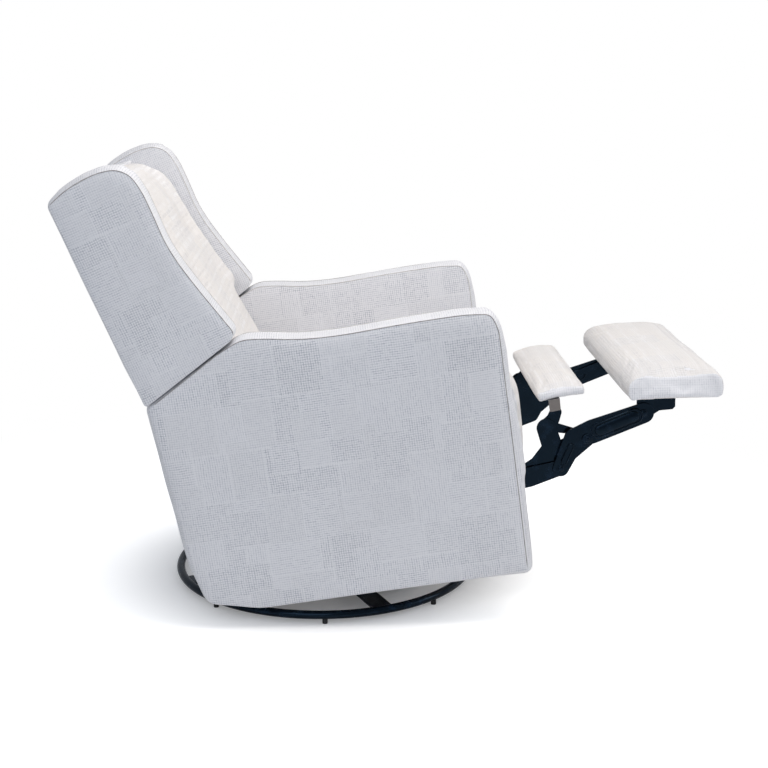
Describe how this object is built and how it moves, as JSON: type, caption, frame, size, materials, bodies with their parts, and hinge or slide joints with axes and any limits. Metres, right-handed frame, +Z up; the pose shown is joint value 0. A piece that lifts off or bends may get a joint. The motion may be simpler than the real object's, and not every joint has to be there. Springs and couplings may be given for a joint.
{
  "type": "swivel glider recliner",
  "caption": "Upholstered winged recliner on a round swivel glider base, shown with its two-pad leg rest out on a folding steel linkage.",
  "frame": {"origin": "centre of the plan box of the whole chair as drawn, on the floor", "axes": "+Z up, the chair faces -Y, the sitter's right is -X"},
  "size_m": [0.76, 1.441, 1.0024],
  "materials": {
    "upholstery": "woven cloth in pale grey and cream, patches of fine dashed stripes",
    "frame_wood": "plain sawn hardwood and plywood",
    "black_steel": "gloss black enamel on steel",
    "bare_steel": "zinc plated and oiled spring steel",
    "nylon": "black nylon",
    "handle_plastic": "fine textured black plastic"
  },
  "bodies": {
    "stand": {"base_ring": "black_steel", "base_cross": "black_steel", "floor_glides": "nylon", "swivel_lower_race": "black_steel", "swivel_bearing_ring": "nylon", "swivel_spindle": "bare_steel"},
    "platform": {"swivel_platform": "black_steel", "glider_posts_front": "black_steel", "glider_posts_rear": "black_steel", "glide_pins_upper": "bare_steel"},
    "front_glide_links": {"glide_links_front": "black_steel"},
    "rear_glide_links": {"glide_links_rear": "black_steel"},
    "chassis": {"glide_rail_right": "black_steel", "glide_rail_left": "black_steel", "glide_pins_lower": "bare_steel", "chassis_cross_tubes": "black_steel", "chassis_rails": "frame_wood", "arm_frame_right": "frame_wood", "arm_frame_left": "frame_wood", "arm_right": "upholstery", "arm_left": "upholstery", "rear_apron": "upholstery", "seat_track_right": "black_steel", "seat_track_left": "black_steel", "handle_escutcheon": "handle_plastic"},
    "handle": {"release_handle": "handle_plastic"},
    "seat": {"seat_plate_right": "black_steel", "seat_plate_left": "black_steel", "seat_side_rails": "frame_wood", "seat_front_rail": "frame_wood", "seat_rear_rail": "frame_wood", "seat_springs": "bare_steel", "seat_rollers": "nylon", "drive_torque_tube": "black_steel", "seat_cushion": "upholstery"},
    "back": {"back_bracket_right": "black_steel", "back_bracket_left": "black_steel", "back_posts": "frame_wood", "back_rails": "frame_wood", "back_outer_panel": "upholstery", "back_skirt_panel": "upholstery", "back_cushion": "upholstery", "wing_right": "upholstery", "wing_left": "upholstery"},
    "upper_links": {"upper_link_right": "black_steel", "upper_link_left": "black_steel"},
    "lower_links": {"lower_link_right": "black_steel", "lower_link_left": "black_steel"},
    "long_links": {"long_link_right": "black_steel", "long_link_left": "black_steel"},
    "control_rods": {"control_links": "black_steel"},
    "footrest": {"footrest_bracket_right": "black_steel", "footrest_bracket_left": "black_steel", "footrest_board": "frame_wood", "footrest_pad": "upholstery"},
    "flipper": {"flipper_bracket_right": "black_steel", "flipper_bracket_left": "black_steel", "flipper_board": "frame_wood", "flipper_pad": "upholstery"}
  },
  "joints": [
    {"name": "swivel", "type": "hinge", "parent": "stand", "child": "platform", "pos_m": [0, 0.16438, 0.029], "axis": [0, 0, 1], "continuous": true},
    {"name": "glide", "type": "hinge", "parent": "platform", "child": "front_glide_links", "pos_m": [0, -0.03562, 0.235], "axis": [-1, 0, 0], "range_deg": [0, 28.31]},
    {"name": "glide_body", "type": "hinge", "parent": "front_glide_links", "child": "chassis", "pos_m": [0, 0.06193, 0.12105], "axis": [-1, 0, 0], "range_deg": [-37.2, 0]},
    {"name": "glide_rear", "type": "hinge", "parent": "platform", "child": "rear_glide_links", "pos_m": [0, 0.30438, 0.235], "axis": [-1, 0, 0], "range_deg": [0, 24.7]},
    {"name": "release", "type": "hinge", "parent": "chassis", "child": "handle", "pos_m": [-0.2895, -0.14764, 0.59586], "axis": [1, 0, 0], "range_deg": [0, 30], "stiffness_Nm_per_rad": 0.4, "springref_deg": -20.05},
    {"name": "recline", "type": "slide", "parent": "chassis", "child": "seat", "axis": [0, -0.9907, 0.1357], "range_m": [0, 0.045]},
    {"name": "recline_back", "type": "hinge", "parent": "seat", "child": "back", "pos_m": [0, 0.41811, 0.26805], "axis": [-1, 0, 0], "range_deg": [0, 25.1]},
    {"name": "legrest", "type": "hinge", "parent": "seat", "child": "upper_links", "pos_m": [0, -0.21358, 0.35983], "axis": [-1, 0, 0], "range_deg": [-130.43, 0]},
    {"name": "legrest_lower", "type": "hinge", "parent": "seat", "child": "lower_links", "pos_m": [0, -0.11907, 0.33951], "axis": [-1, 0, 0], "range_deg": [-94.9, 0]},
    {"name": "legrest_long", "type": "hinge", "parent": "upper_links", "child": "long_links", "pos_m": [0, -0.42646, 0.38777], "axis": [-1, 0, 0], "range_deg": [0, 157.3]},
    {"name": "legrest_pad", "type": "hinge", "parent": "long_links", "child": "footrest", "pos_m": [0, -0.55167, 0.44631], "axis": [-1, 0, 0], "range_deg": [-110.5, 0]},
    {"name": "legrest_control", "type": "hinge", "parent": "upper_links", "child": "control_rods", "pos_m": [0, -0.4326, 0.4047], "axis": [-1, 0, 0], "range_deg": [0, 155.5]},
    {"name": "legrest_flipper", "type": "hinge", "parent": "upper_links", "child": "flipper", "pos_m": [0, -0.33551, 0.41064], "axis": [-1, 0, 0], "range_deg": [-80.2, 0]}
  ],
  "couplings": [
    {"joint": "glide_body", "follows": "glide", "ratio": -1.3108},
    {"joint": "glide_rear", "follows": "glide", "ratio": 0.86672},
    {"joint": "recline_back", "follows": "recline", "rad_per_m": 9.696},
    {"joint": "legrest_lower", "follows": "legrest", "ratio": 0.72683},
    {"joint": "legrest_long", "follows": "legrest", "ratio": -1.205},
    {"joint": "legrest_pad", "follows": "legrest", "ratio": 0.84597},
    {"joint": "legrest_control", "follows": "legrest", "ratio": -1.1911},
    {"joint": "legrest_flipper", "follows": "legrest", "ratio": 0.61336}
  ]
}
